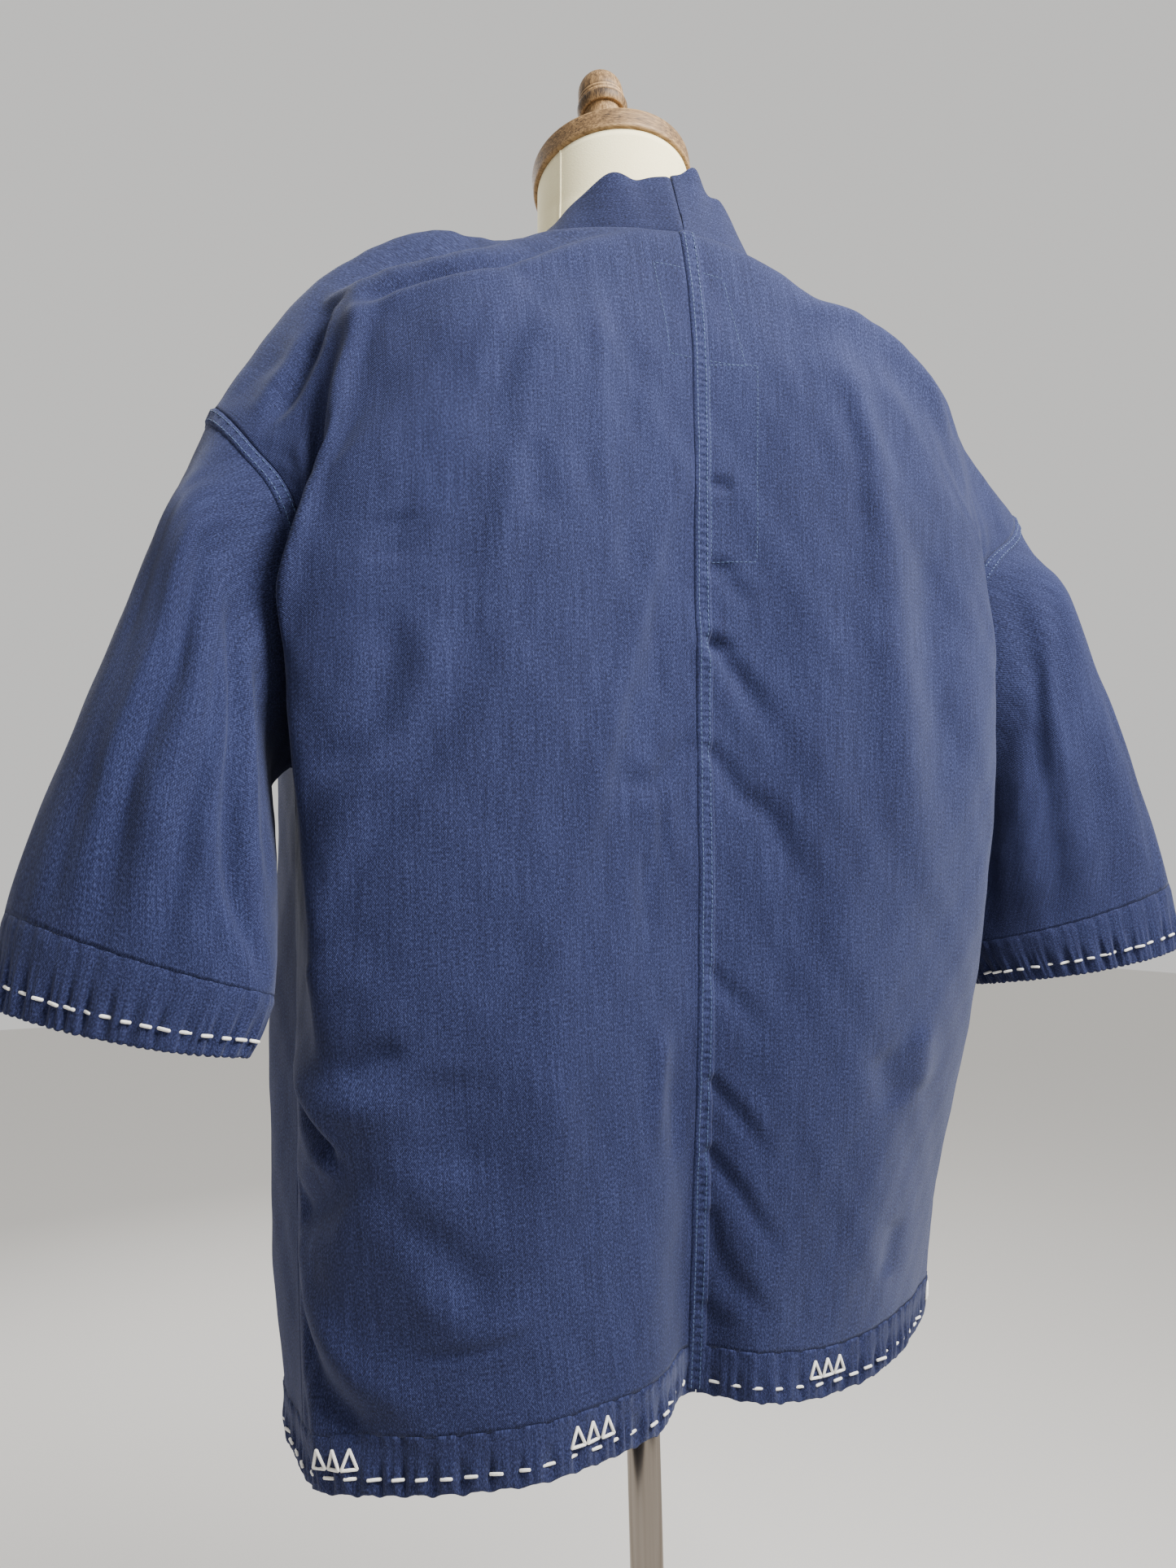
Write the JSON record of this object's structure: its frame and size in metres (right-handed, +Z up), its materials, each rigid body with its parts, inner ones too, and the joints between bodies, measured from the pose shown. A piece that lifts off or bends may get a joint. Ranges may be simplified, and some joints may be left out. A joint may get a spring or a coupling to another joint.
{
  "type": "kimono jacket on dress form",
  "caption": "Open-fronted kimono jacket with straight dropped sleeves, stitched cuffs and hem, worn by a limbless dress form on a pole stand.",
  "frame": {"origin": "centre of the stand base's underside, on the floor", "axes": "+Z up; the wearer faces -Y, so the jacket's back is at +Y and the wearer's left at +X"},
  "size_m": [0.8, 0.304, 1.6284],
  "materials": {
    "body_left": "indigo slub twill cotton",
    "body_right": "indigo slub twill cotton",
    "sleeve_left": "indigo slub twill cotton",
    "sleeve_right": "indigo slub twill cotton",
    "cuff_left": "indigo slub twill cotton with white running stitches",
    "cuff_right": "indigo slub twill cotton with white running stitches",
    "hem_left": "indigo slub twill cotton with white running stitches",
    "hem_right": "indigo slub twill cotton with white running stitches",
    "collar_left": "indigo slub twill cotton",
    "collar_right": "indigo slub twill cotton",
    "form_torso": "cream jersey cover",
    "neck_cap": "weathered brown",
    "neck_finial": "weathered brown, turned",
    "stand_pole": "polished, bronze toned",
    "stand_base": "polished, bronze toned"
  },
  "bodies": {
    "root": {"body_left": "body_left", "body_right": "body_right", "sleeve_left": "sleeve_left", "sleeve_right": "sleeve_right", "cuff_left": "cuff_left", "cuff_right": "cuff_right", "hem_left": "hem_left", "hem_right": "hem_right", "collar_left": "collar_left", "collar_right": "collar_right", "form_torso": "form_torso", "neck_cap": "neck_cap", "neck_finial": "neck_finial", "stand_pole": "stand_pole", "stand_base": "stand_base"}
  },
  "joints": []
}
